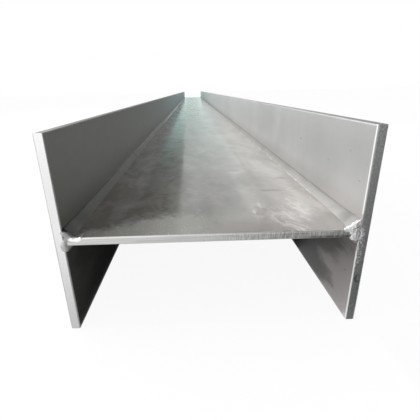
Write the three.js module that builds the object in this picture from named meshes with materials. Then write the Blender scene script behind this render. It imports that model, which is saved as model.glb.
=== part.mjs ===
// Welded steel H-beam: two flange plates and one web plate, joined by four long fillet welds.
// The beam lies with its web level, standing on the lower edges of both flanges.
// Units are millimetres. +X runs across the section, +Y along the beam and +Z up.
// The origin is on the floor, under the middle of the beam.
import * as THREE from "three";

// Plates
const beamLength = 6000;
const sectionDepth = 300; // over the outer faces of both flanges
const flangeWidth = 200;
const flangeThickness = 10;
const webThickness = 8;
const flangeArris = 1.4; // rounding that deburring leaves along the flange edges
const webArris = 0.8; // the same, across the two ends of the web
const arrisFacets = 3;

// Welds
const weldLegOnWeb = 8;
const weldLegOnFlange = 9; // a little longer, because the torch is tilted towards the flange
const weldCrown = 0.8; // how far the bead's face bulges past a flat line from toe to toe
const crownFacets = 5;
const runLength = 400; // bead laid in one go, before the welder stops and starts again
const restartRise = 1; // extra leg where a run starts over the crater of the last one
const restartFade = 40; // length over which that rise settles
const craterDip = 1; // leg lost in the crater that ends a run
const craterLength = 20;
const legDrift = 0.55; // how far a hand-held torch lets the leg drift
const driftLength = 620;
const quickDriftShare = 0.4; // part of that drift that comes and goes more quickly
const quickDriftRate = 2.65; // and how many times as quickly
const legsApart = 0.37; // part of a drift by which the two legs of one bead differ
const endBuildUp = 0.6; // extra leg where the bead is built up towards the end of the joint
const endBuildUpLength = 30;
const endRounding = 2.5; // radius to which the bead's own end is rounded off
const roundingFacets = 4;
const closestStations = 1e-3; // stations nearer to each other than this are one

// Sizes that follow from those above
const clearDepth = sectionDepth - 2 * flangeThickness; // width of the web between the flanges
const webLevel = flangeWidth / 2;
const runCount = Math.max(1, Math.round(beamLength / runLength));
const run = beamLength / runCount;

const plateSteel = new THREE.MeshStandardMaterial({ color: 0x9fa09e, roughness: 0.45, metalness: 1 });
const webSteel = new THREE.MeshStandardMaterial({ color: 0x98968f, roughness: 0.4, metalness: 1 });
const weldSteel = new THREE.MeshStandardMaterial({ color: 0xa9aba8, roughness: 0.38, metalness: 1 });

// A rectangle centred on the origin.
function rectangle(width, height) {
  const shape = new THREE.Shape();
  shape.moveTo(-width / 2, -height / 2);
  shape.lineTo(width / 2, -height / 2);
  shape.lineTo(width / 2, height / 2);
  shape.lineTo(-width / 2, height / 2);
  shape.closePath();
  return shape;
}

// A rectangle centred on the origin, with rounded corners.
function roundedRectangle(width, height, radius) {
  const shape = new THREE.Shape();
  const right = width / 2 - radius;
  const top = height / 2 - radius;
  shape.absarc(right, top, radius, 0, Math.PI / 2);
  shape.absarc(-right, top, radius, Math.PI / 2, Math.PI);
  shape.absarc(-right, -top, radius, Math.PI, 1.5 * Math.PI);
  shape.absarc(right, -top, radius, 1.5 * Math.PI, 2 * Math.PI);
  shape.closePath();
  return shape;
}

// A flange is a long strip of plate on edge, with its arris rounded all round both faces.
// side is -1 for the left flange and 1 for the right one.
function flangePlate(name, side) {
  const face = rectangle(beamLength - 2 * flangeArris, flangeWidth - 2 * flangeArris);
  const geometry = new THREE.ExtrudeGeometry(face, {
    depth: flangeThickness - 2 * flangeArris,
    bevelEnabled: true,
    bevelSize: flangeArris,
    bevelThickness: flangeArris,
    bevelSegments: arrisFacets,
  });
  geometry.translate(0, 0, flangeArris); // its faces are now at 0 and at flangeThickness
  const mesh = new THREE.Mesh(geometry, plateSteel);
  mesh.name = name;
  mesh.rotation.set(Math.PI / 2, Math.PI / 2, 0); // length along +Y, width along +Z, thickness along +X
  mesh.position.x = side > 0 ? clearDepth / 2 : -sectionDepth / 2;
  return mesh;
}

// The web is a strip of plate lying flat between the flanges, rounded across its two ends only.
function webPlate() {
  const profile = roundedRectangle(beamLength, webThickness, webArris);
  const geometry = new THREE.ExtrudeGeometry(profile, {
    depth: clearDepth,
    bevelEnabled: false,
    curveSegments: arrisFacets,
  });
  const mesh = new THREE.Mesh(geometry, webSteel);
  mesh.name = "web_plate";
  mesh.rotation.set(Math.PI / 2, Math.PI / 2, 0); // length along +Y, thickness along +Z, width along +X
  mesh.position.x = -clearDepth / 2;
  return mesh;
}

// Where the bead's section is drawn, as distances from the beam's near end: closely round each
// restart and towards both ends, and widely between them.
function weldStations() {
  const even = run - restartFade - craterLength; // the stretch of a run between restart and crater
  const inRun = [0, restartFade / 3, restartFade, restartFade + even / 3, restartFade + (2 * even) / 3];
  inRun.push(run - craterLength, run - craterLength / 3);
  const atEnd = [endBuildUpLength / 3, (2 * endBuildUpLength) / 3, endBuildUpLength];
  for (let i = 1; i <= roundingFacets; i += 1) {
    atEnd.push(endRounding * (1 - Math.cos((i / roundingFacets) * (Math.PI / 2))));
  }
  const places = [beamLength];
  for (let i = 0; i < runCount; i += 1) {
    for (const place of inRun) places.push(i * run + place);
  }
  for (const place of atEnd) places.push(place, beamLength - place);
  places.sort((a, b) => a - b);
  return places.filter((place, index) => index === 0 || place - places[index - 1] > closestStations);
}

// What the welder adds to or takes from the bead's leg at one place: the restart and the crater of
// each run, the slow drift of the torch, and the build-up and the rounding at both ends. phase makes
// the four beads, and the two legs of each, drift differently.
function legChange(place, phase) {
  const intoRun = place % run;
  const restart = restartRise * Math.max(0, 1 - intoRun / restartFade) ** 2;
  const crater = craterDip * Math.max(0, 1 - (run - intoRun) / craterLength);
  const turns = place / driftLength + phase;
  const slowDrift = (1 - quickDriftShare) * Math.sin(2 * Math.PI * turns);
  const quickDrift = quickDriftShare * Math.sin(2 * Math.PI * quickDriftRate * turns);
  const fromEnd = Math.min(place, beamLength - place);
  const buildUp = endBuildUp * THREE.MathUtils.smoothstep(endBuildUpLength - fromEnd, 0, endBuildUpLength);
  const reach = Math.max(0, endRounding - fromEnd);
  const rounding = endRounding - Math.sqrt(endRounding ** 2 - reach ** 2);
  return restart - crater + legDrift * (slowDrift + quickDrift) + buildUp - rounding;
}

// One fillet weld, in the corner between a flange and the web. side is -1 at the left flange and 1
// at the right one; level is 1 above the web and -1 below it.
function filletWeld(name, side, level, phase) {
  const bulge = 0.5 + (weldCrown * Math.SQRT2) / Math.min(weldLegOnWeb, weldLegOnFlange);
  const section = new THREE.Shape(); // legs of length 1, with the root at the origin
  section.moveTo(0, 0);
  section.lineTo(-side, 0);
  section.quadraticCurveTo(-side * bulge, level * bulge, 0, level);
  section.closePath();

  const stations = weldStations().reverse(); // the extrusion starts at the far end
  const steps = stations.length - 1;
  const geometry = new THREE.ExtrudeGeometry(section, {
    depth: steps,
    steps,
    bevelEnabled: false,
    curveSegments: crownFacets,
  });
  const corner = geometry.getAttribute("position");
  for (let i = 0; i < corner.count; i += 1) {
    const place = stations[Math.round(corner.getZ(i))];
    const onWeb = weldLegOnWeb + legChange(place, phase);
    const onFlange = weldLegOnFlange + legChange(place, phase + legsApart);
    corner.setXYZ(i, corner.getX(i) * onWeb, corner.getY(i) * onFlange, beamLength / 2 - place);
  }
  geometry.computeVertexNormals();

  const mesh = new THREE.Mesh(geometry, weldSteel);
  mesh.name = name;
  mesh.rotation.x = Math.PI / 2; // the section stands upright and the bead runs along Y
  mesh.position.set((side * clearDepth) / 2, 0, (level * webThickness) / 2);
  return mesh;
}

const beam = new THREE.Group();
beam.position.z = webLevel; // the pieces are placed about the middle of the web
beam.add(
  flangePlate("flange_plate_left", -1),
  flangePlate("flange_plate_right", 1),
  webPlate(),
  filletWeld("fillet_weld_upper_left", -1, 1, 0.1),
  filletWeld("fillet_weld_upper_right", 1, 1, 0.45),
  filletWeld("fillet_weld_lower_left", -1, -1, 0.7),
  filletWeld("fillet_weld_lower_right", 1, -1, 0.9),
);

export default beam;
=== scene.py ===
import math
import random
import bmesh
import bpy
from mathutils import Matrix, Vector, noise


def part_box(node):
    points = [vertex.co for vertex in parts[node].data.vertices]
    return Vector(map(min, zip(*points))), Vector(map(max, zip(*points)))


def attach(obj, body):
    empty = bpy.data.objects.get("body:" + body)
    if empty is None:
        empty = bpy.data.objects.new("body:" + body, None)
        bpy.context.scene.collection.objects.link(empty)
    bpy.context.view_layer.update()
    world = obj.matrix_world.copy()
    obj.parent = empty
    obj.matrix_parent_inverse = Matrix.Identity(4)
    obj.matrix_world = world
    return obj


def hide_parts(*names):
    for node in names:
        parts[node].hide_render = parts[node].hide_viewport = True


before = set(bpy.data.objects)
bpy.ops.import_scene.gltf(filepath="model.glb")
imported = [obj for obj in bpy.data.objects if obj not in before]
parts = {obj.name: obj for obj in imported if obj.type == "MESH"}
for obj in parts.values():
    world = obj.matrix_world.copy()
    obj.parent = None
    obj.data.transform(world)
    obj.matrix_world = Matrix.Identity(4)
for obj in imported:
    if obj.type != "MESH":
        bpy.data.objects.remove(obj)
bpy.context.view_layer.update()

scene = bpy.context.scene
print("frame loaded:", len(parts), "pieces")

# sizes that the looks need, taken from the frame, in metres
webLow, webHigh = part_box("web_plate")
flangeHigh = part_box("flange_plate_right")[1]
beam = {
    "end": webHigh[1],             # from the middle of the beam to an end
    "inner": webHigh[0],           # from the middle to the inner face of a flange
    "outer": flangeHigh[0],
    "webTop": webHigh[2],
    "webUnder": webLow[2],
    "webMiddle": (webHigh[2] + webLow[2]) / 2,
    "height": flangeHigh[2],
}
mm = 0.001
sides = {"left": -1, "right": 1}   # which way each one lies along X

# nodes


class Signal:   # a socket that plain arithmetic can be done with: each step becomes a Math node
    def __init__(self, socket):
        self.socket = socket
        self.tree = socket.id_data

    def step(self, operation, *others):
        node = self.tree.nodes.new("ShaderNodeMath")
        node.operation = operation
        for slot, value in zip(node.inputs, (self,) + others):
            feed(slot, value)
        return Signal(node.outputs[0])

    def __add__(self, other):
        return self.step("ADD", other)

    def __sub__(self, other):
        return self.step("SUBTRACT", other)

    def __mul__(self, other):
        return self.step("MULTIPLY", other)

    def __truediv__(self, other):
        return self.step("DIVIDE", other)

    def __rsub__(self, other):
        return self.step("MULTIPLY", -1).step("ADD", other)

    def __abs__(self):
        return self.step("ABSOLUTE")

    __radd__ = __add__
    __rmul__ = __mul__

    def least(self, other):
        return self.step("MINIMUM", other)

    def most(self, other):
        return self.step("MAXIMUM", other)

    def fade(self, low, high):   # 0 at low, 1 at high, smooth between them
        node = self.tree.nodes.new("ShaderNodeMapRange")
        node.interpolation_type = "SMOOTHSTEP"
        feed(node.inputs["Value"], self)
        feed(node.inputs["From Min"], low)
        feed(node.inputs["From Max"], high)
        return Signal(node.outputs["Result"])


def feed(slot, value):
    if isinstance(value, Signal):
        slot.id_data.links.new(value.socket, slot)
    else:
        slot.default_value = value


def addNode(tree, kind, choices=None, **inputs):
    node = tree.nodes.new(kind)
    for name, choice in (choices or {}).items():
        setattr(node, name, choice)
    for name, value in inputs.items():
        feed(node.inputs[name], value)
    return node


def out(node, name=0):
    return Signal(node.outputs[name])


def colour(red, green, blue):
    return (red, green, blue, 1)


def stretched(tree, vector, x, y, z):
    node = addNode(tree, "ShaderNodeVectorMath", {"operation": "MULTIPLY"})
    feed(node.inputs[0], vector)
    node.inputs[1].default_value = (x, y, z)
    return out(node)


def moved(tree, vector, x):   # the vector with its X moved by a value that changes over the surface
    node = addNode(tree, "ShaderNodeVectorMath", {"operation": "ADD"})
    feed(node.inputs[0], vector)
    feed(node.inputs[1], out(addNode(tree, "ShaderNodeCombineXYZ", X=x)))
    return out(node)


def cloud(tree, vector, scale, detail=2.0, roughness=0.5, distortion=0.0):
    node = addNode(tree, "ShaderNodeTexNoise", Vector=vector, Scale=scale, Detail=detail,
                   Roughness=roughness, Distortion=distortion)
    return out(node, "Fac")


def mixed(tree, amount, first, second, kind="MIX"):
    node = addNode(tree, "ShaderNodeMix", {"data_type": "RGBA", "blend_type": kind})
    feed(node.inputs[0], amount)
    feed(node.inputs[6], first)
    feed(node.inputs[7], second)
    return out(node, 2)


def shaded(tree, base, value):   # a colour made lighter or darker by a value round 1
    node = addNode(tree, "ShaderNodeVectorMath", {"operation": "SCALE"})
    feed(node.inputs[0], base if isinstance(base, Signal) else base[:3])
    feed(node.inputs["Scale"], value)
    return out(node)


def newGroup(name, inputs, outputs):
    tree = bpy.data.node_groups.new(name, "ShaderNodeTree")
    kinds = {"vector": "NodeSocketVector", "value": "NodeSocketFloat", "colour": "NodeSocketColor"}
    for socketName, kind in inputs.items():
        tree.interface.new_socket(socketName, in_out="INPUT", socket_type=kinds[kind])
    for socketName, kind in outputs.items():
        tree.interface.new_socket(socketName, in_out="OUTPUT", socket_type=kinds[kind])
    entry = tree.nodes.new("NodeGroupInput")
    ending = tree.nodes.new("NodeGroupOutput")
    given = {socketName: Signal(entry.outputs[socketName]) for socketName in inputs}
    return tree, given, ending


def useGroup(tree, group, **inputs):
    node = tree.nodes.new("ShaderNodeGroup")
    node.node_tree = group
    for name, value in inputs.items():
        feed(node.inputs[name], value)
    return {socket.name: Signal(socket) for socket in node.outputs}


def newMaterial(name):
    material = bpy.data.materials.new(name)
    material.use_nodes = True
    tree = material.node_tree
    shader = tree.nodes["Principled BSDF"]
    place = out(addNode(tree, "ShaderNodeTexCoord"), "Object")
    return material, tree, shader, place


def axes(tree, vector):
    split = addNode(tree, "ShaderNodeSeparateXYZ", Vector=vector)
    return out(split, 0), out(split, 1), out(split, 2)


def faceNormal(tree):   # the flat normal of the face
    return axes(tree, out(addNode(tree, "ShaderNodeNewGeometry"), "True Normal"))


def addBump(tree, shader, height, strength, distance):
    bump = addNode(tree, "ShaderNodeBump", Height=height, Strength=strength, Distance=distance)
    feed(shader.inputs["Normal"], out(bump, "Normal"))


# effects that materials share

# what rolling and handling leave on plate: a fine grain along Y, soft mottling and upright streaks
def makePlateGrain():
    group, given, ending = newGroup(
        "plateGrain",
        {"Place": "vector", "Mottle Scale": "value"},
        {"Grain": "value", "Mottle": "value", "Streak": "value"})
    place = given["Place"]
    grain = cloud(group, stretched(group, place, 900, 22, 900), 1, 3, 0.6)
    fine = cloud(group, place, 1600, 2, 0.6)
    spread = addNode(group, "ShaderNodeVectorMath", {"operation": "SCALE"})
    feed(spread.inputs[0], place)
    feed(spread.inputs["Scale"], given["Mottle Scale"])
    mottle = cloud(group, out(spread), 1, 4, 0.55, 0.4)
    streak = cloud(group, stretched(group, place, 18, 18, 3.2), 1, 3, 0.55, 0.3)
    feed(ending.inputs["Grain"], grain * 0.65 + fine * 0.35)
    feed(ending.inputs["Mottle"], mottle)
    feed(ending.inputs["Streak"], streak)
    return group


# short scratches that run one way, in patches
def makeScratches():
    group, given, ending = newGroup(
        "scratches",
        {"Place": "vector", "Density": "value"},
        {"Mask": "value"})
    place = given["Place"]
    lines = cloud(group, place, 1, 1.5, 0.5, 0.25)
    patches = cloud(group, place, 0.06, 2, 0.5)
    thin = abs(lines - 0.5).fade(0.022, 0.004)
    feed(ending.inputs["Mask"], thin * patches.fade(1 - given["Density"], 1.08 - given["Density"]))
    return group


# small round marks, as dust and spatter leave
def makeSpecks():
    group, given, ending = newGroup(
        "specks",
        {"Place": "vector", "Per Metre": "value", "Share": "value"},
        {"Mask": "value"})
    cells = addNode(group, "ShaderNodeTexVoronoi", {"feature": "F1"}, Vector=given["Place"],
                    Scale=given["Per Metre"])
    pick = addNode(group, "ShaderNodeSeparateColor")
    feed(pick.inputs[0], out(cells, "Color"))
    chosen = out(pick, 0).fade(1 - given["Share"], 1.02 - given["Share"])
    radius = out(pick, 1) * 0.22 + 0.1
    dot = (out(cells, "Distance") / radius).fade(1, 0.55)
    feed(ending.inputs["Mask"], dot * chosen)
    return group


# beside a bead: a dark line at the toe and a brown band that fades out, each partly heat tint from welding
# and partly painted shade in the corner
def makeHeatAndCornerShade():
    group, given, ending = newGroup(
        "heatAndCornerShade",
        {"Place": "vector", "Distance": "value"},
        {"Toe": "value", "Band": "value"})
    wander = cloud(group, given["Place"], 55, 3, 0.6) - 0.5
    away = given["Distance"] + wander * (6 * mm)
    feed(ending.inputs["Toe"], away.fade(3 * mm, 0.3 * mm))
    feed(ending.inputs["Band"], away.fade(26 * mm, 1 * mm))
    return group


# one soft-edged mark at a chosen spot
def makeMark():
    group, given, ending = newGroup(
        "mark",
        {"Place": "vector", "Centre": "vector", "Size": "vector", "Raggedness": "value"},
        {"Mask": "value"})
    away = addNode(group, "ShaderNodeVectorMath", {"operation": "SUBTRACT"})
    feed(away.inputs[0], given["Place"])
    feed(away.inputs[1], given["Centre"])
    scaled = addNode(group, "ShaderNodeVectorMath", {"operation": "DIVIDE"})
    feed(scaled.inputs[0], out(away))
    feed(scaled.inputs[1], given["Size"])
    reach = addNode(group, "ShaderNodeVectorMath", {"operation": "LENGTH"})
    feed(reach.inputs[0], out(scaled))
    ragged = (cloud(group, given["Place"], 260, 4, 0.65) - 0.5) * given["Raggedness"]
    feed(ending.inputs["Mask"], (out(reach, "Value") * 2 + ragged).fade(1.15, 0.75))
    return group


plateGrain = makePlateGrain()
scratches = makeScratches()
specks = makeSpecks()
heatAndCornerShade = makeHeatAndCornerShade()
mark = makeMark()


def marked(tree, place, spots, raggedness):   # the mask of several marks: centre and size of each
    total = None
    for centre, size in spots:
        mask = useGroup(tree, mark, Place=place, Centre=centre, Size=size, Raggedness=raggedness)["Mask"]
        total = mask if total is None else total.most(mask)
    return total


# flanges

flangeFinish = {
    "dull": colour(0.40, 0.395, 0.385),
    "heat": colour(0.83, 0.805, 0.80),   # multiplies the steel's own colour: heat tint and painted corner shade
    # the colour of the painted shadow under the web
    "webShadow": colour(0.21, 0.21, 0.21),
    # worn steel; also the colour of the painted highlights on the arrises
    "wornAndHighlight": colour(0.93, 0.93, 0.92),
    "gougeColour": colour(0.10, 0.10, 0.10),
    "roughness": 0.5,
    "bump": 0.12,
    "toeOnFlange": 9 * mm,
    "groundLow": 14 * mm,                # how far below the web's middle its cut end was ground most
    "groundReach": (54 * mm, 20 * mm),   # and how far from there the grinding went
    "coveredReach": (20 * mm, 18 * mm),  # weld metal covers the arris this far above and below the web
    "rubbedGlintWidth": (3 * mm, 1 * mm),     # a strip along the arris, on the cut end, worn and painted bright as a highlight
    "rubbedGlintFrom": (12 * mm, 20 * mm),    # above the web
    "nicks": [                         # small dark dents on one inner face: centre and size
        ((0.14, -2.798, 0.162), (0.01, 0.007, 0.0018)), ((0.14, -2.984, 0.147), (0.01, 0.003, 0.0014)),
        ((0.14, -2.958, 0.171), (0.01, 0.002, 0.0016)), ((0.14, -2.905, 0.152), (0.01, 0.003, 0.0020)),
        ((0.14, -2.9915, 0.0789), (0.01, 0.007, 0.0035)), ((0.14, -2.9841, 0.0513), (0.01, 0.006, 0.0016)),
    ],
    "gouges": [((0.1455, -3.0, 0.0500), (0.0058, 0.01, 0.0105))],     # in one cut end
    "gougeHearts": [((0.1468, -3.0, 0.0507), (0.0038, 0.01, 0.0072))],
}
flangeSides = {   # the left plate's steel is painted darker than the right one's, as painted shade; their cut ends differ too: one is ground and one has oxidised, and the left end is also painted brighter and the right one darker, as painted highlight and shade
    "left": {
        "steel": colour(0.335, 0.34, 0.325),
        "glareTint": colour(0.42, 0.50, 0.515),
        "glareTintFrom": (0.3, 2.0),        # metres from the near end over which the inner face turns lighter and bluer: painted glare from the far end
        "below": colour(0.335, 0.34, 0.325),     # under the web
        "end": colour(0.74, 0.74, 0.74),
        "grain": 0.10,                   # of the cut end
        "endRough": 0.36,
        "endFoot": 0.74,                 # the cut end's tone at the floor
        "endRise": 3.0,                  # what it gains to the metre, up to a level
        "endLevel": 0.11,
        "endFall": 1.4,                  # and loses above it
        "ground": 0.3,
        "endArris": 0.1,
    },
    "right": {
        "steel": colour(0.63, 0.63, 0.625),
        "glareTint": colour(0.68, 0.73, 0.725),
        "glareTintFrom": (1.2, 3.6),
        "below": colour(0.66, 0.61, 0.60),
        "end": colour(0.42, 0.43, 0.43),
        "grain": 0.55,
        "endRough": 0.62,
        "endFoot": 0.50,
        "endRise": 5.0,
        "endLevel": 0.2,
        "endFall": 0.0,
        "ground": 1.0,
        "endArris": 1.0,
    },
}


def makeFlangeSteel(side):
    plateLook = flangeSides[side]
    material, tree, shader, place = newMaterial("flangeSteel." + side)
    x, y, z = axes(tree, place)
    nx, ny, nz = faceNormal(tree)
    plate = useGroup(tree, plateGrain, **{"Place": place, "Mottle Scale": 9.0})
    fromWeb = abs(z - beam["webMiddle"])
    beyondToe = fromWeb - (beam["webTop"] - beam["webMiddle"] + flangeFinish["toeOnFlange"])
    heat = useGroup(tree, heatAndCornerShade, Place=place, Distance=beyondToe)
    inside = (abs(x) - beam["inner"]).fade(1 * mm, 0.2 * mm)      # 1 on the inner face
    atEnd = abs(ny).fade(0.97, 0.995)
    arris = abs(nx).most(abs(ny)).most(abs(nz)).fade(0.99, 0.93)
    fromEnd = beam["end"] - abs(y)
    ontoEnd = abs(x) - beam["inner"]     # how far across the cut end

    # the faces: steel, painted glare towards the far end, a tint and a painted shadow under the web, the band
    # beside the weld, scratches, ticks and dents
    tone = plate["Mottle"] * 0.16 + plate["Streak"] * 0.10 + plate["Grain"] * 0.10 + 0.82
    # painted glare from the far end: the inner faces turn lighter and bluer further away
    farGlare = (y + beam["end"]).fade(*plateLook["glareTintFrom"]) * inside
    face = mixed(tree, farGlare, plateLook["steel"], plateLook["glareTint"])
    lower = (z - beam["webUnder"]).fade(0, -2 * mm) * inside
    face = mixed(tree, lower * 0.5, face, plateLook["below"])
    face = shaded(tree, face, tone)
    # painted shadow of the web on the lower inner faces: blotchy, darker further from the end and nearer the
    # web
    webShadow = cloud(tree, stretched(tree, place, 1, 14, 36), 1, 4, 0.58, 0.3) * 2.2 - 0.6
    webShadow = (webShadow + fromEnd * 11 + (z - beam["webUnder"]) * 7).fade(0.42, 1.0) * lower
    face = mixed(tree, webShadow * 0.72, face, flangeFinish["webShadow"])
    # heat tint and painted shade in the corner beside the weld, with a dark line at the toe
    face = mixed(tree, heat["Band"] * inside * 0.70, face, flangeFinish["heat"], "MULTIPLY")
    face = mixed(tree, heat["Toe"] * inside * 0.14, face, flangeFinish["dull"])
    lines = useGroup(tree, scratches, Place=stretched(tree, place, 60, 25, 260), Density=0.42)["Mask"]
    face = mixed(tree, lines * 0.22, face, flangeFinish["wornAndHighlight"])
    ticks = useGroup(tree, specks, **{"Place": stretched(tree, place, 1, 1, 0.45), "Per Metre": 46.0,
                                      "Share": 0.05})["Mask"]
    face = mixed(tree, ticks * 0.4, face, flangeFinish["dull"])
    nicks = marked(tree, place, flangeFinish["nicks"], 0.5)
    face = mixed(tree, nicks * 0.75, face, flangeFinish["dull"])

    # the cut ends: sawn grain, painted darker towards the floor and the left one darker again above a level,
    # as painted shade, ground beside the web, one gouge
    coarse = cloud(tree, place, 760, 3, 0.75)
    flecks = cloud(tree, stretched(tree, place, 1500, 1, 620), 1, 3, 0.7, 0.5).fade(0.36, 0.68)
    endTone = (coarse + flecks) * plateLook["grain"] + (1 - plateLook["grain"])
    # painted shade: the cut end's tone changes with height
    above = (z - plateLook["endLevel"]).most(0)
    level = z.least(plateLook["endLevel"]) * plateLook["endRise"] - above * plateLook["endFall"]
    endTone = endTone * (level + plateLook["endFoot"])
    cut = shaded(tree, plateLook["end"], endTone)
    fromGround = abs(z - beam["webMiddle"] + flangeFinish["groundLow"])
    fromGround = fromGround + cloud(tree, place, 150, 3) * (26 * mm)
    ground = fromGround.fade(*flangeFinish["groundReach"]) * ontoEnd.fade(8 * mm, 3 * mm)
    dots = cloud(tree, place, 520, 2, 0.6).fade(0.47, 0.60)
    cut = mixed(tree, ground * dots * plateLook["ground"], cut, flangeFinish["wornAndHighlight"])
    gouge = marked(tree, place, flangeFinish["gouges"], 1.2)
    gouge = gouge * (1 - marked(tree, place, flangeFinish["gougeHearts"], 0.9))
    cut = mixed(tree, gouge * 0.7, cut, flangeFinish["gougeColour"])

    # the arrises: painted darker along the plate, as painted shade, and bright where a cut end begins, partly
    # wear and partly painted highlight, less so below the web
    # painted highlight on the arrises where a cut end begins, partly wear
    bright = ontoEnd.fade(4 * mm, 6 * mm).most(plateLook["endArris"]) * arris * fromEnd.fade(3 * mm, 2 * mm)
    covered = fromWeb.fade(*flangeFinish["coveredReach"]) * plateLook["ground"]
    bright = bright * (1 - covered * 0.8) * (1 - (z - beam["webUnder"]).fade(0, -10 * mm) * 0.25)
    rubbedGlint = ontoEnd.fade(*flangeFinish["rubbedGlintWidth"])
    rubbedGlint = rubbedGlint * (z - beam["webTop"]).fade(*flangeFinish["rubbedGlintFrom"])
    bright = bright.most(rubbedGlint * atEnd * plateLook["endArris"] * 0.9)
    steel = mixed(tree, atEnd, face, cut)
    steel = shaded(tree, steel, 1 - arris * 0.15)
    steel = mixed(tree, bright, steel, flangeFinish["wornAndHighlight"])
    feed(shader.inputs["Base Color"], steel)
    shader.inputs["Metallic"].default_value = 1.0
    rough = flangeFinish["roughness"] + plate["Mottle"] * 0.12 - lines * 0.06
    roughEnd = plateLook["endRough"] + coarse * 0.1
    feed(shader.inputs["Roughness"], rough + atEnd * (roughEnd - rough))
    height = plate["Grain"] * 0.6 + lines * -0.4 + atEnd * coarse * (plateLook["grain"] * 6)
    addBump(tree, shader, height, flangeFinish["bump"], 0.4 * mm)
    return material


# web

webFinish = {
    "leftDirtAndShade": colour(0.25, 0.245, 0.225),   # dirtier to the left and painted darker there, as painted shade from the left flange; cleaner to the right
    "rightSteel": colour(0.63, 0.61, 0.585),
    "turn": (0.0, 0.095),             # where the one goes over into the other
    "stain": colour(0.145, 0.12, 0.105),
    "mauve": colour(0.33, 0.29, 0.28),
    "warm": colour(0.42, 0.36, 0.32),
    "dull": colour(0.36, 0.36, 0.34),
    "dust": colour(0.56, 0.55, 0.52),
    # worn steel; also the colour of the painted highlights on the upper arrises
    "wornAndHighlight": colour(0.90, 0.90, 0.88),
    "scuffed": colour(0.95, 0.91, 0.88),
    "roughness": 0.5,
    "film": 0.92,                      # the clear film of oil that plate is shipped with
    "filmRoughness": 0.12,
    "bump": 0.12,
    "toeOnWeb": 8 * mm,
    "scuffs": [                        # where it was knocked near one end: centre and size
        ((0.080, -2.964, 0.104), (0.028, 0.080, 0.02)), ((0.068, -2.957, 0.104), (0.008, 0.048, 0.02)),
        ((0.049, -2.950, 0.104), (0.004, 0.030, 0.02)), ((0.100, -2.935, 0.104), (0.020, 0.090, 0.02)),
        ((0.059, -2.925, 0.104), (0.004, 0.030, 0.02)), ((0.088, -2.985, 0.104), (0.016, 0.030, 0.02)),
    ],
    "smears": [                        # smudges with more dirt in them
        ((0.089, -2.861, 0.104), (0.030, 0.010, 0.02)), ((0.113, -2.798, 0.104), (0.014, 0.012, 0.02)),
        ((0.030, -2.630, 0.104), (0.040, 0.026, 0.02)), ((0.044, -2.740, 0.104), (0.036, 0.020, 0.02)),
        ((0.012, -2.880, 0.104), (0.016, 0.090, 0.02)), ((0.030, -2.990, 0.104), (0.070, 0.040, 0.02)),
        ((0.056, -2.945, 0.104), (0.012, 0.050, 0.02)), ((-0.004, -2.520, 0.104), (0.050, 0.060, 0.02)),
    ],
}


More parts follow.
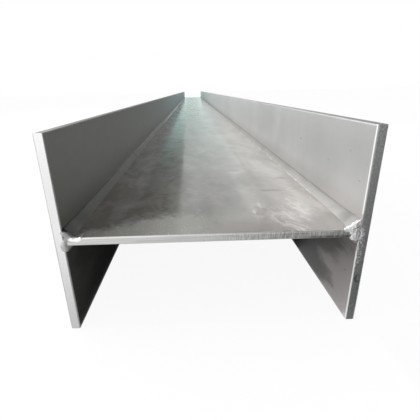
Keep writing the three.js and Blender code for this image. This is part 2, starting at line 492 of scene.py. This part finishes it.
def makeWebSteel():
    material, tree, shader, place = newMaterial("webSteel")
    x, y, z = axes(tree, place)
    nx, ny, nz = faceNormal(tree)
    plate = useGroup(tree, plateGrain, **{"Place": place, "Mottle Scale": 11.0})
    beyondToe = beam["inner"] - webFinish["toeOnWeb"] - abs(x)
    heat = useGroup(tree, heatAndCornerShade, Place=place, Distance=beyondToe)
    atEnd = abs(ny).fade(0.97, 0.995)
    arris = abs(nx).most(abs(ny)).most(abs(nz)).fade(0.99, 0.93)
    fromEnd = beam["end"] - abs(y)

    # the faces: smears with feathered ends, wipes across the plate, stains beside one bead, scuffs, dust
    feather = (cloud(tree, stretched(tree, place, 26, 90, 1), 1, 4, 0.65) - 0.5) * (30 * mm)
    feathered = moved(tree, place, feather)
    smear = cloud(tree, stretched(tree, feathered, 30, 9, 1), 1, 3, 0.6, 0.8).fade(0.40, 0.60)
    wipe = cloud(tree, stretched(tree, place, 17, 52, 1), 1, 2, 0.5, 0.8)
    wide = cloud(tree, stretched(tree, place, 22, 10, 1), 1, 3, 0.55, 0.9)
    tone = smear * 0.15 + wipe * 0.09 + wide * 0.34 + plate["Grain"] * 0.06 + 0.66
    across = (x + (cloud(tree, place, 9, 3) - 0.5) * 0.10).fade(*webFinish["turn"])
    # the left side's steel is darker: dirt and painted shade
    face = shaded(tree, webFinish["leftDirtAndShade"], tone)
    face = mixed(tree, across, face, shaded(tree, webFinish["rightSteel"], tone))
    blot = cloud(tree, stretched(tree, feathered, 26, 12, 1), 1, 4, 0.62, 0.5)
    stain = (blot - (x + 0.085) * 2.4).fade(0.42, 0.57)
    face = mixed(tree, stain * (1 - across) * 0.68, face, webFinish["stain"])
    plume = cloud(tree, stretched(tree, feathered, 44, 17, 1), 1, 3, 0.6, 1.0).fade(0.48, 0.59) * (1 - across)
    face = mixed(tree, plume * 0.4, face, webFinish["dull"])
    face = mixed(tree, (1 - smear) * across * 0.20, face, webFinish["mauve"])
    # heat tint and painted shade in the corners beside the welds, with a dark line at each toe
    face = mixed(tree, heat["Band"] * 0.14, face, webFinish["warm"])
    face = mixed(tree, heat["Toe"] * 0.15, face, webFinish["dull"])
    slanted = moved(tree, place, y * 0.35)
    brushed = cloud(tree, stretched(tree, slanted, 380, 40, 1), 1, 3, 0.7, 0.5).fade(0.40, 0.62)
    scuffs = marked(tree, place, webFinish["scuffs"], 2.2) * (brushed * 0.6 + 0.4)
    scuffs = scuffs * cloud(tree, stretched(tree, slanted, 1.5, 0.7, 1), 80, 4, 0.7, 0.6).fade(0.42, 0.62)
    face = mixed(tree, marked(tree, feathered, webFinish["smears"], 1.6) * 0.5, face, webFinish["mauve"])
    soiled = (y + beam["end"] + (wide - 0.5) * (70 * mm)).fade(60 * mm, 18 * mm) * x.fade(0.0, 0.07)
    face = mixed(tree, soiled * 0.50, face, webFinish["mauve"])
    face = mixed(tree, scuffs * 0.7, face, webFinish["scuffed"])
    face = mixed(tree, soiled * x.fade(0.085, 0.11) * 0.45, face, webFinish["dull"])
    ragged = (cloud(tree, stretched(tree, feathered, 1.6, 0.7, 1), 60, 4, 0.7) - 0.5) * (60 * mm)
    dusty = (fromEnd - (x + 0.145).most(0).least(0.10) * 0.46 + ragged).fade(16 * mm, -8 * mm)
    dusty = dusty * x.fade(0.03, -0.04)
    grit = useGroup(tree, specks, **{"Place": place, "Per Metre": 420.0, "Share": 0.6})["Mask"] * dusty
    face = mixed(tree, dusty * 0.75, face, webFinish["dust"])
    face = mixed(tree, grit, face, webFinish["wornAndHighlight"])

    # the cut ends: drag lines across the thickness, deeper on one half
    torn = (x + (cloud(tree, place, 40, 2) - 0.5) * 0.04).fade(-0.03, 0.07)
    drag = cloud(tree, stretched(tree, place, 640, 1, 90), 1, 2, 0.6, 0.4).fade(0.34, 0.62)
    streaks = cloud(tree, stretched(tree, place, 24, 1, 900), 1, 3, 0.6, 0.4)
    rim = (z - beam["webTop"]).fade(-1.9 * mm, -1.2 * mm) * 0.22
    lowest = (z - beam["webUnder"]).fade(3 * mm, 1.2 * mm) * x.fade(0.08, 0.11)
    away = x.fade(-0.12, -0.04) * 0.05
    scraped = x.fade(0.08, 0.11) * (z - beam["webUnder"]).fade(2 * mm, 4 * mm) * 0.22
    cut = streaks * 0.45 + rim - away - torn * (drag * 0.30 - 0.08) - lowest * 0.25 + scraped + 0.44
    cut = shaded(tree, webFinish["wornAndHighlight"], cut)
    steel = mixed(tree, atEnd, face, cut)
    # the upper arrises painted bright, partly wear and partly painted highlight; the lower ones are left as
    # they are
    steel = mixed(tree, arris * (z - beam["webMiddle"]).fade(0, 1 * mm) * 0.8, steel, webFinish["wornAndHighlight"])
    feed(shader.inputs["Base Color"], steel)
    shader.inputs["Metallic"].default_value = 1.0
    feed(shader.inputs["Roughness"], plate["Mottle"] * 0.1 + wide * 0.12 + webFinish["roughness"] - 0.1)
    film = (0.94 - (1 - smear) * 0.16 - dusty * 0.4) * webFinish["film"]
    feed(shader.inputs["Coat Weight"], film * (1 - atEnd))
    shader.inputs["Coat Roughness"].default_value = webFinish["filmRoughness"]
    height = plate["Grain"] * 0.5 - scuffs * brushed * 0.3 + grit * 2 + atEnd * (torn * 5 + 0.4) * drag
    addBump(tree, shader, height, webFinish["bump"], 0.4 * mm)
    return material


# weld metal

weldFinish = {
    # the left weld's steel and end are painted darker than the right one's, as painted shade, besides its
    # soot; the right end is painted brighter, as painted highlight
    "left": {
        "steel": colour(0.19, 0.188, 0.172),
        "soot": 0.95,                    # near the ends
        "under": 0.0,                    # how much darker the bead below the web is painted, as painted shade
        "toeGlow": 0.5,                  # how bright the painted highlight on its toe is further in
        "dotsFrom": 0.8,                 # metres from the end at which that starts
        "boxed": colour(0.34, 0.345, 0.34),      # the weld end
        "sparkle": 0.25,
    },
    "right": {
        "steel": colour(0.40, 0.388, 0.375),
        "soot": 0.1,
        "under": 0.1,
        "toeGlow": 0.15,
        "dotsFrom": 0.07,
        "boxed": colour(0.86, 0.86, 0.855),
        "sparkle": 1.0,
    },
    "roughness": 0.50,
    # the colour of the painted highlights and of bare weld metal
    "bright": colour(0.97, 0.97, 0.96),
    "dull": colour(0.05, 0.048, 0.045),
    "ripplePitch": 2.3 * mm,
    "bump": 0.35,
    "boxedRoughness": 0.42,
    "boxedBump": 0.8,
    "spilled": colour(0.94, 0.93, 0.96),      # where it runs out over the end of the flange
    "bareAndHighlight": [                            # where it was brushed bare and a highlight is painted: centre and size
        ((0.1300, -3.0, 0.1045), (0.0150, 0.03, 0.0120)), ((0.1358, -3.0, 0.1072), (0.0120, 0.03, 0.0150)),
        ((0.1385, -3.0, 0.1095), (0.0070, 0.03, 0.0090)), ((-0.1280, -3.0, 0.1022), (0.0170, 0.03, 0.0060)),
    ],
}


def makeBeadSteel(side):
    look = weldFinish[side]
    material, tree, shader, place = newMaterial("weldSteel." + side)
    x, y, z = axes(tree, place)
    across = out(addNode(tree, "ShaderNodeAttribute", {"attribute_name": "across"}), "Fac")
    plate = useGroup(tree, plateGrain, **{"Place": place, "Mottle Scale": 26.0})
    middle = abs(across - 0.5) * 2                     # 0 on the crown, 1 at both toes
    wander = cloud(tree, place, 120, 3, 0.6)
    ripple = y + middle * middle * (1.6 * mm) + wander * (2 * mm)
    ripple = (ripple * (2 * math.pi / weldFinish["ripplePitch"])).step("SINE")
    fromEnd = beam["end"] - abs(y)
    lumps = cloud(tree, stretched(tree, place, 60, 38, 60), 1, 4, 0.6)
    tone = plate["Mottle"] * 0.2 + lumps * 0.36 + plate["Grain"] * 0.12 + ripple * 0.02
    # painted shade: the bead is painted darker towards its toe on the flange
    tone = tone + across * 0.2 + 0.56 - fromEnd.fade(0.09, 0.01) * 0.14
    steel = shaded(tree, look["steel"], tone)

    # a dark toe on the flange's side, with soot near the ends and painted crease shade along it, and a
    # painted highlight on the web's side
    toe = (across + (wander - 0.5) * 0.06).fade(0.20, 0.08)
    sootAndShade = fromEnd.fade(0.50, 0.12) * look["soot"] * 0.95 + fromEnd.fade(0.05, 0.6) * 0.14 + 0.03
    steel = mixed(tree, toe * sootAndShade, steel, weldFinish["dull"])
    # painted highlights along the toe on the web's side: dots, and a glint further in
    dots = cloud(tree, place, 260, 2).fade(0.34, 0.60) * lumps.fade(0.40, 0.60)
    dots = dots * across.fade(0.84, 0.94) * 0.55
    glow = across.fade(0.55, 0.8) * fromEnd.fade(0.9, 1.6) * lumps.fade(0.3, 0.5)
    dots = dots.most(glow * look["toeGlow"]) * fromEnd.fade(look["dotsFrom"], look["dotsFrom"] * 1.4)
    steel = mixed(tree, dots, steel, weldFinish["bright"])
    # painted shade on the beads under the web
    steel = shaded(tree, steel, 1 - (z - beam["webUnder"]).fade(0, -1 * mm) * look["under"])
    feed(shader.inputs["Base Color"], steel)
    shader.inputs["Metallic"].default_value = 1.0
    feed(shader.inputs["Roughness"], plate["Mottle"] * 0.16 + weldFinish["roughness"] - 0.08)
    addBump(tree, shader, ripple * 0.25 + plate["Grain"] * 0.5 + wander * 0.5, weldFinish["bump"], 0.25 * mm)
    return material


def makeBoxedSteel(side):   # brushed bare and painted as a highlight in places at the near end of each weld, grey elsewhere
    look = weldFinish[side]
    material, tree, shader, place = newMaterial("weldSteel.boxed." + side)
    x = axes(tree, place)[0]
    coarse = cloud(tree, place, 900, 3, 0.7, 0.3)
    patch = cloud(tree, place, 260, 3, 0.6)
    marks = cloud(tree, stretched(tree, place, 500, 900, 1500), 1, 3, 0.7, 0.8)
    # the brushed patches, painted white as a highlight
    bareAndHighlight = marked(tree, place, weldFinish["bareAndHighlight"], look["sparkle"])
    bareAndHighlight = bareAndHighlight * (1 - marks.fade(0.62, 0.40) * look["sparkle"] * 0.35)
    tone = patch * 0.3 + coarse * 0.5 + marks * 0.2 + 0.5
    steel = shaded(tree, look["boxed"], tone)
    spilled = (abs(x) - beam["inner"]).fade(-1 * mm, 1.5 * mm) * look["sparkle"]
    steel = mixed(tree, spilled, steel, shaded(tree, weldFinish["spilled"], tone))
    steel = mixed(tree, bareAndHighlight, steel, weldFinish["bright"])
    feed(shader.inputs["Base Color"], steel)
    shader.inputs["Metallic"].default_value = 1.0
    feed(shader.inputs["Roughness"], coarse * 0.2 + weldFinish["boxedRoughness"] - bareAndHighlight * 0.1)
    addBump(tree, shader, coarse * look["sparkle"] + marks * 0.4, weldFinish["boxedBump"], 0.9 * mm)
    return material


flangeSteel = {side: makeFlangeSteel(side) for side in sides}
webSteel = makeWebSteel()
beadSteel = {side: makeBeadSteel(side) for side in sides}
boxedSteel = {side: makeBoxedSteel(side) for side in sides}


def dress(name, material):
    for slot in parts[name].material_slots:
        slot.material = material


for side in sides:
    dress("flange_plate_" + side, flangeSteel[side])
dress("web_plate", webSteel)
print("plates dressed")

# weld beads

bead = {
    "Length": 2 * beam["end"],
    "Leg On Web": 8 * mm,
    "Leg On Flange": 9 * mm,
    "Crown": 0.45 * mm,
    "Sink": 0.12 * mm,             # how far the toes run into the plates
    "Run Length": 400 * mm,
    "Restart Rise": 0.7 * mm,
    "Restart Length": 16 * mm,
    "Restart Fade": 40 * mm,
    "Crater Dip": 0.6 * mm,
    "Crater Length": 20 * mm,
    "Drift": 0.7 * mm,
    "Lumps": 0.5 * mm,
    "Build Up": 1.2 * mm,
    "Build Up Length": 30 * mm,
    "End Rounding": 3.4 * mm,
}
lowerRounding = 6 * mm             # the beads under the web fade out more gently
driftRate = 5                      # waves to a metre: slow ones in both legs
lumpRate = 60                      # quick ones in both legs
crownRate = 34                     # and the ones in the crown
beadStations = 1500
beadPoints = 12                    # on the face of the bead, from toe to toe
endCrowding = 0.45                 # under 0.5: how much closer the stations stand towards the ends


def makeBeadTree():
    tree = bpy.data.node_groups.new("weldBead", "GeometryNodeTree")
    for name in bead:
        tree.interface.new_socket(name, in_out="INPUT", socket_type="NodeSocketFloat")
    for name in ("Corner X", "Corner Z", "Side", "Level", "Seed"):
        tree.interface.new_socket(name, in_out="INPUT", socket_type="NodeSocketFloat")
    tree.interface.new_socket("Stations", in_out="INPUT", socket_type="NodeSocketInt")
    tree.interface.new_socket("Face Points", in_out="INPUT", socket_type="NodeSocketInt")
    tree.interface.new_socket("Steel", in_out="INPUT", socket_type="NodeSocketMaterial")
    tree.interface.new_socket("Mesh", in_out="OUTPUT", socket_type="NodeSocketGeometry")
    entry = tree.nodes.new("NodeGroupInput")
    given = {socket.name: Signal(socket) for socket in entry.outputs if socket.name}

    # a straight path with its section, each carrying the number that the shape is worked out from
    line = addNode(tree, "GeometryNodeCurvePrimitiveLine")
    path = addNode(tree, "GeometryNodeResampleCurve", Curve=out(line), Count=given["Stations"])
    along = addNode(tree, "GeometryNodeStoreNamedAttribute", Geometry=out(path), Name="along")
    feed(along.inputs["Value"], out(addNode(tree, "GeometryNodeSplineParameter"), "Factor"))
    loop = addNode(tree, "GeometryNodeCurvePrimitiveCircle", Resolution=given["Face Points"] + 1)
    around = addNode(tree, "GeometryNodeStoreNamedAttribute", Geometry=out(loop), Name="around")
    feed(around.inputs["Value"], out(addNode(tree, "GeometryNodeInputIndex")))
    tube = addNode(tree, "GeometryNodeCurveToMesh", Curve=out(along), **{"Profile Curve": out(around)})
    tube.inputs["Fill Caps"].default_value = True

    def stored(name):
        node = addNode(tree, "GeometryNodeInputNamedAttribute", {"data_type": "FLOAT"}, Name=name)
        return out(node, "Attribute")

    # where along the beam
    even = stored("along") * 2 - 1     # from -1 to 1, in even steps
    y = (even * (1 + endCrowding) - even * even * even * endCrowding) * given["Length"] * 0.5
    place = y + given["Length"] * 0.5
    fromEnd = given["Length"] * 0.5 - abs(y)

    # what the welder adds to the leg there: each run starts in the crater of the last one, swells over
    # it, settles, and ends in a crater of its own
    intoRun = place.step("MODULO", given["Run Length"])
    swell = intoRun.fade(0, given["Restart Length"])
    swell = swell * intoRun.fade(given["Restart Fade"], given["Restart Length"])
    leftInRun = given["Run Length"] - intoRun
    crater = leftInRun.fade(given["Crater Length"], 0).most(intoRun.fade(given["Restart Length"], 0))
    crater = crater * fromEnd.fade(0, given["Restart Fade"])
    buildUp = fromEnd.fade(given["Build Up Length"], 0)
    common = swell * given["Restart Rise"] - crater * given["Crater Dip"] + buildUp * given["Build Up"]
    reach = (given["End Rounding"] - fromEnd).most(0)
    fall = given["End Rounding"] * given["End Rounding"] - reach * reach
    common = common - given["End Rounding"] + fall.most(0).step("SQRT")

    def wander(rate, shift, detail=1.0):   # from -1 to 1; another shift or seed gives other waves
        spot = addNode(tree, "ShaderNodeCombineXYZ", X=y * rate, Y=given["Seed"] * 7.3 + shift)
        return (cloud(tree, out(spot), 1, detail) - 0.5) * 2

    onFlange = given["Leg On Flange"] + common + wander(driftRate, 0.4) * given["Drift"]
    onFlange = onFlange + wander(lumpRate, 1.7, 3) * given["Lumps"]
    onWeb = given["Leg On Web"] + common + wander(driftRate, 3.1) * given["Drift"]
    onWeb = onWeb + wander(lumpRate, 4.9, 3) * given["Lumps"]

    # the section: from the toe on the flange over the crown to the toe on the web, then the root
    over = stored("around") / (given["Face Points"] - 1)
    over = over.least(1)
    isRoot = stored("around").step("GREATER_THAN", given["Face Points"] - 0.5)
    bend = abs(over * 2 - 1)
    settled = fromEnd.fade(given["Build Up Length"] * 0.5, given["Build Up Length"] * 3)
    proud = given["Crown"] * (settled * 0.8 + 0.2)      # flatter towards the ends
    crown = (1 - bend * bend * bend) * (proud + wander(crownRate, 8.2, 2) * given["Lumps"] * 0.7)
    crown = crown * (1 - isRoot) * math.sqrt(0.5)       # its share along either leg
    fromFlange = (over * onWeb) * (1 - isRoot) + crown - (1 - over).most(isRoot) * given["Sink"]
    fromWeb = ((1 - over) * onFlange) * (1 - isRoot) + crown - over.most(isRoot) * given["Sink"]
    x = given["Corner X"] - given["Side"] * fromFlange
    z = given["Corner Z"] + given["Level"] * fromWeb
    spot = addNode(tree, "ShaderNodeCombineXYZ", X=x, Y=y, Z=z)
    shaped = addNode(tree, "GeometryNodeSetPosition", Geometry=out(tube), Position=out(spot))
    across = addNode(tree, "GeometryNodeStoreNamedAttribute", Geometry=out(shaped), Name="across")
    feed(across.inputs["Value"], over)
    smooth = addNode(tree, "GeometryNodeSetShadeSmooth", Geometry=out(across))

    # the toes stay sharp: a lengthwise edge there carries the number that both its ends have
    number = stored("around")
    atFlange = number.step("LESS_THAN", 0.25)
    atWeb = abs(number - given["Face Points"] + 1).step("LESS_THAN", 0.25)
    crisp = addNode(tree, "GeometryNodeSetShadeSmooth", {"domain": "EDGE"}, Geometry=out(smooth),
                    Selection=atFlange.most(atWeb))
    crisp.inputs["Shade Smooth"].default_value = False
    whole = addNode(tree, "GeometryNodeRealizeInstances", Geometry=out(crisp))
    finished = addNode(tree, "GeometryNodeSetMaterial", Geometry=out(whole), Material=given["Steel"])
    ending = tree.nodes.new("NodeGroupOutput")
    feed(ending.inputs["Mesh"], out(finished))
    return tree


def plainMesh(source, name):   # the finished shape of an object with modifiers, as a new plain object
    ready = source.evaluated_get(bpy.context.evaluated_depsgraph_get())
    mesh = bpy.data.meshes.new_from_object(ready)
    mesh.name = name
    bpy.data.objects.remove(source)
    piece = bpy.data.objects.new(name, mesh)
    scene.collection.objects.link(piece)
    return piece


def turnedOut(piece):   # faces turned outwards
    shape = bmesh.new()
    shape.from_mesh(piece.data)
    if shape.calc_volume(signed=True) < 0:
        bmesh.ops.reverse_faces(shape, faces=shape.faces)
    shape.to_mesh(piece.data)
    shape.free()
    return piece


beadTree = makeBeadTree()


def makeBead(name, sideName, side, level, seed):
    start = bpy.data.objects.new(name + "_start", bpy.data.meshes.new(name + "_start"))
    scene.collection.objects.link(start)
    modifier = start.modifiers.new("weldBead", "NODES")
    modifier.node_group = beadTree
    values = dict(bead)
    values["Corner X"] = side * beam["inner"]
    values["Corner Z"] = beam["webTop"] if level > 0 else beam["webUnder"]
    values["Side"] = float(side)
    values["Level"] = float(level)
    values["Seed"] = float(seed)
    if level < 0:
        values["End Rounding"] = lowerRounding
    values["Stations"] = beadStations
    values["Face Points"] = beadPoints
    values["Steel"] = beadSteel[sideName]
    for item in beadTree.interface.items_tree:
        if item.in_out == "INPUT":
            modifier[item.identifier] = values[item.name]
    piece = turnedOut(plainMesh(start, name))
    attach(piece, "root")
    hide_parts(name.replace("bead", "fillet_weld"))
    return piece


for sideName, side in sides.items():
    for levelName, level in (("upper", 1), ("lower", -1)):
        makeBead("bead_%s_%s" % (levelName, sideName), sideName, side, level, seed=side * 2 + level + 4)
print("weld beads made")

# boxed weld ends

# Pads of weld metal that run into one another where a bead wraps round the end of its joint, in
# millimetres: in from the flange's inner face, up from the middle of the web, radius, and how far the
# pad stands out of the end plane. curl is a thin chip left on the web's edge, pad by pad.
boxing = {
    "voxel": 0.4 * mm,
    "depth": 0.7,                  # how far a pad reaches into the steel, over its radius
    "smoothing": 10,
    "waves": {"left": 0.16 * mm, "right": 0.38 * mm},     # how uneven the surface is
    "waveRate": 420.0,             # how many waves there are to a metre
    "left": [
        (-1.0, 8.9, 2.9, 0.50), (0.8, 7.8, 3.3, 0.70), (2.8, 6.3, 3.4, 0.80), (4.8, 4.3, 3.4, 0.90),
        (6.8, 2.0, 3.4, 0.90), (9.2, 1.2, 3.0, 0.80), (11.6, 1.0, 2.8, 0.80), (13.8, 1.7, 2.5, 0.70),
        (15.6, 2.9, 2.0, 0.60), (2.4, 2.6, 4.6, 0.60),
        (-0.2, -1.6, 4.0, 0.90), (-0.9, -4.4, 4.6, 1.30), (-0.9, -7.2, 4.1, 1.10),
    ],
    "right": [
        (13.6, 4.2, 1.7, 0.50), (12.0, 3.6, 2.5, 0.60), (9.8, 4.2, 3.3, 1.10), (8.4, 5.9, 2.4, 1.30),
        (6.6, 5.6, 3.7, 1.50), (5.2, 8.6, 2.6, 1.40), (4.4, 7.4, 3.9, 1.60), (2.4, 10.4, 2.5, 1.30),
        (2.0, 9.4, 3.4, 1.40), (0.8, 12.0, 1.7, 0.90), (0.4, 10.8, 2.3, 0.90),
        (6.0, 1.4, 4.4, 1.00), (3.0, 4.0, 4.8, 1.60), (2.6, -0.8, 5.2, 1.60),
        (4.6, -3.4, 4.0, 1.20), (2.2, -4.4, 4.0, 1.20),
        (-1.8, 2.6, 5.2, 0.60), (-3.2, -1.0, 5.4, 0.60), (-2.0, -4.2, 4.8, 0.50),
    ],
    "curl": {
        "left": [(15.8, 4.2, 0.8), (16.7, 5.0, 0.7), (17.4, 5.9, 0.6), (17.9, 6.8, 0.5), (18.3, 7.6, 0.4)],
        "right": [],
    },
}


def makeBoxedEnd(name, sideName, side, end, seed):
    shape = bmesh.new()
    draw = random.Random(seed)

    def addPad(inward, up, radius, proud, depth, rounds):
        centre = Vector((side * (beam["inner"] - inward * mm), end * (beam["end"] + proud - depth),
                         beam["webMiddle"] + up * mm))
        squashed = Matrix.Translation(centre) @ Matrix.Diagonal((1, depth / radius, 1, 1))
        bmesh.ops.create_icosphere(shape, subdivisions=rounds, radius=radius, matrix=squashed)

    for inward, up, radius, proud in boxing[sideName]:
        size = radius * mm * draw.uniform(0.96, 1.04)
        addPad(inward, up, size, proud * mm, size * boxing["depth"], 4)
    mesh = bpy.data.meshes.new(name + "_start")
    shape.to_mesh(mesh)
    shape.free()
    start = bpy.data.objects.new(name + "_start", mesh)
    scene.collection.objects.link(start)
    remesh = start.modifiers.new("fuse", "REMESH")
    remesh.mode = "VOXEL"
    remesh.voxel_size = boxing["voxel"]
    ease = start.modifiers.new("ease", "SMOOTH")
    ease.factor = 0.5
    ease.iterations = boxing["smoothing"]
    piece = plainMesh(start, name)
    shape = bmesh.new()
    shape.from_mesh(piece.data)
    for inward, up, radius in boxing["curl"][sideName]:
        addPad(inward, up, radius * mm, 0.3 * mm, radius * mm, 2)
    shape.to_mesh(piece.data)
    shape.free()
    for vertex in piece.data.vertices:
        wave = noise.fractal(vertex.co * boxing["waveRate"] + Vector((seed, 0, 0)), 0.7, 2.0, 4)
        vertex.co += vertex.normal * wave * boxing["waves"][sideName]
    for polygon in piece.data.polygons:
        polygon.use_smooth = True
    turnedOut(piece)
    piece.data.materials.clear()
    piece.data.materials.append(boxedSteel[sideName])
    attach(piece, "root")
    return piece


for endName, end in (("near", -1), ("far", 1)):
    for sideName, side in sides.items():
        makeBoxedEnd("weld_end_%s_%s" % (endName, sideName), sideName, side, end, seed=11 + end * 3 + side)
print("weld ends made")

# camera

cameraSetup = {
    "place": (-0.0157, -3.2892, 0.2306),   # just in front of the near end and above the web
    "yaw": -0.0140,                        # radians, turned from +Y
    "pitch": -0.3851,
    "roll": 0.0248,
    "lens": 28.67,                         # mm on a 36 mm sensor
    "shift": (0.0238, 0.0357),
}


def makeCamera(setup):
    data = bpy.data.cameras.new("camera")
    data.lens = setup["lens"]
    data.sensor_width = 36
    data.shift_x, data.shift_y = setup["shift"]
    data.clip_start = 0.01
    data.clip_end = 100
    camera = bpy.data.objects.new("camera", data)
    scene.collection.objects.link(camera)
    turn = Matrix.Rotation(setup["yaw"], 3, "Z") @ Matrix.Rotation(setup["pitch"], 3, "X")
    turn = turn @ Matrix.Rotation(setup["roll"], 3, "Y")
    level = Matrix.Rotation(math.pi / 2, 3, "X")   # from looking down to looking along +Y
    camera.matrix_world = (turn @ level).to_4x4()
    camera.location = setup["place"]
    scene.camera = camera


makeCamera(cameraSetup)

# studio

studio = {
    "floorSize": 60,
    "floorColour": colour(0.80, 0.80, 0.80),
    "floorWhite": 0.93,                # how far the floor shows as white to the camera
    "sky": 1.0,
    "haze": colour(0.81, 1.0, 0.955),   # at the foot of the two far screens
    "hazeHeight": (0.72, 0.12),
}


def makeFloor():
    bpy.ops.mesh.primitive_plane_add(size=studio["floorSize"])
    floor = bpy.context.object
    floor.name = "floor"
    material = bpy.data.materials.new("floor")
    material.use_nodes = True
    tree = material.node_tree
    tree.nodes.remove(tree.nodes["Principled BSDF"])
    matt = addNode(tree, "ShaderNodeBsdfDiffuse", Color=studio["floorColour"])
    white = addNode(tree, "ShaderNodeEmission", Color=colour(1, 1, 1), Strength=1.0)
    path = addNode(tree, "ShaderNodeLightPath")
    seen = out(path, "Is Camera Ray") + out(path, "Is Glossy Ray") + out(path, "Is Transmission Ray")
    both = addNode(tree, "ShaderNodeMixShader")
    feed(both.inputs[0], seen.least(1) * studio["floorWhite"])
    feed(both.inputs[1], out(matt))
    feed(both.inputs[2], out(white))
    feed(tree.nodes["Material Output"].inputs["Surface"], out(both))
    floor.data.materials.append(material)


# A matt screen that the camera doesn't see. Its foot may be tinted up to a height, with haze lowest down.
def makeCard(name, corners, faces=((0, 1, 2, 3),), tone=0.02, foot=None, footHeight=1.0, glow=0.0):
    mesh = bpy.data.meshes.new(name)
    mesh.from_pydata(corners, [], faces)
    card = bpy.data.objects.new(name, mesh)
    scene.collection.objects.link(card)
    material = bpy.data.materials.new(name)
    material.use_nodes = True
    tree = material.node_tree
    shader = tree.nodes["Principled BSDF"]
    shader.inputs["Base Color"].default_value = colour(tone, tone, tone)
    if foot:
        z = axes(tree, out(addNode(tree, "ShaderNodeTexCoord"), "Object"))[2]
        shade = mixed(tree, z.fade(footHeight, 0), colour(tone, tone, tone), foot)
        feed(shader.inputs["Base Color"], mixed(tree, z.fade(*studio["hazeHeight"]), shade, studio["haze"]))
    shader.inputs["Roughness"].default_value = 1.0
    shader.inputs["Specular IOR Level"].default_value = 0.0
    shader.inputs["Emission Color"].default_value = colour(1, 1, 1)
    shader.inputs["Emission Strength"].default_value = glow
    mesh.materials.append(material)
    card.visible_camera = False
    card.visible_diffuse = False


def makeLamp(name, place, target, size, power):
    data = bpy.data.lights.new(name, "AREA")
    data.shape = "RECTANGLE"
    data.size, data.size_y = size
    data.energy = power
    lamp = bpy.data.objects.new(name, data)
    scene.collection.objects.link(lamp)
    lamp.location = place
    lamp.rotation_euler = (Vector(target) - Vector(place)).to_track_quat("-Z", "Y").to_euler()
    lamp.visible_camera = False


def makeSky():
    world = bpy.data.worlds.new("world")
    scene.world = world
    world.use_nodes = True
    world.node_tree.nodes["Background"].inputs["Color"].default_value = colour(1, 1, 1)
    world.node_tree.nodes["Background"].inputs["Strength"].default_value = studio["sky"]


# Screens that the web, the flanges and the beads mirror. Most are dark. The two beyond the far end have
# a tinted foot, and the right edge of card_back gives the web its sharp boundary.
beamEnd = beam["end"]
beside = beam["inner"] - 1 * mm    # the screens between the flanges reach to this far from the middle
overFloor = 1 * mm
cards = [
    {"name": "card_right", "faces": ((0, 1, 2, 3), (3, 2, 4, 5)),
     "corners": [(0.9, -4.5, 0.25), (0.9, -0.2, 0.25), (0.9, -0.2, 3.2), (0.9, -4.5, 3.2),
                 (0.4, -0.2, 4.5), (0.4, -4.5, 4.5)]},
    {"name": "card_front",
     "corners": [(0.1, -3.9, 0), (2.4, -4.2, 0), (2.4, -4.2, 3), (0.1, -3.9, 3)]},
    {"name": "card_back", "faces": ((0, 1, 2, 3, 4),), "foot": colour(0.58, 0.87, 0.80), "footHeight": 1.7,
     "corners": [(-0.085, 3.6, 0.0), (-0.30, 3.6, 1.95), (-0.39, 3.6, 2.5), (-5.5, 3.6, 2.5),
                 (-5.5, 3.6, 0.0)]},
    {"name": "card_far", "tone": 0.97, "foot": colour(0.58, 0.72, 0.69), "footHeight": 2.5,
     "corners": [(-1.0, 4.2, 0), (2.4, 4.2, 0), (2.4, 4.2, 2.5), (-1.0, 4.2, 2.5)]},
    # along the top edge of the right flange, which is darker than the left one's
    {"name": "card_edge", "tone": 0.1,
     "corners": [(beam["outer"] + 8 * mm, past * (beamEnd + 0.3), beam["height"] + up)
                 for past, up in ((-1, 3 * mm), (1, 3 * mm), (1, 35 * mm), (-1, 35 * mm))]},
    {"name": "card_back_high", "tone": 0.14,
     "corners": [(-0.39, 3.6, 2.5), (-0.9, 3.6, 7.5), (-5.5, 3.6, 7.5), (-5.5, 3.6, 2.5)]},
    # on the floor: under the beam, where the lower halves of the flanges mirror them, and before it
    {"name": "card_floor_left", "glow": 0.015,
     "corners": [(-beside, -beamEnd, overFloor), (0.0, -beamEnd, overFloor),
                 (0.0, beamEnd, overFloor), (-beside, beamEnd, overFloor)]},
    {"name": "card_floor_right", "tone": 0.10,
     "corners": [(0.0, -2.78, overFloor), (beside, -2.83, overFloor),
                 (beside, beamEnd, overFloor), (0.0, beamEnd, overFloor)]},
    {"name": "card_floor_near", "tone": 0.5, "glow": 0.25,
     "corners": [(0.0, -beamEnd, overFloor), (beside, -2.99, overFloor),
                 (beside, -2.83, overFloor), (0.0, -2.78, overFloor)]},
    {"name": "card_floor_front",
     "corners": [(0.16, -4.2, overFloor), (1.5, -4.2, overFloor),
                 (1.5, -3.01, overFloor), (0.16, -3.01, overFloor)]},
]
lamps = [
    {"name": "lamp_front", "place": (-1.8, -6.6, 0.7), "target": (0.0, -3.0, 0.1), "size": (2.4, 1.2),
     "power": 20},
    {"name": "lamp_left", "place": (-2.4, -1.6, 1.7), "target": (0.14, -1.9, 0.15), "size": (5.0, 2.0),
     "power": 115},
]

makeFloor()
makeSky()
for card in cards:
    makeCard(**card)
for lamp in lamps:
    makeLamp(**lamp)
scene.view_settings.view_transform = "Standard"
print("studio ready")
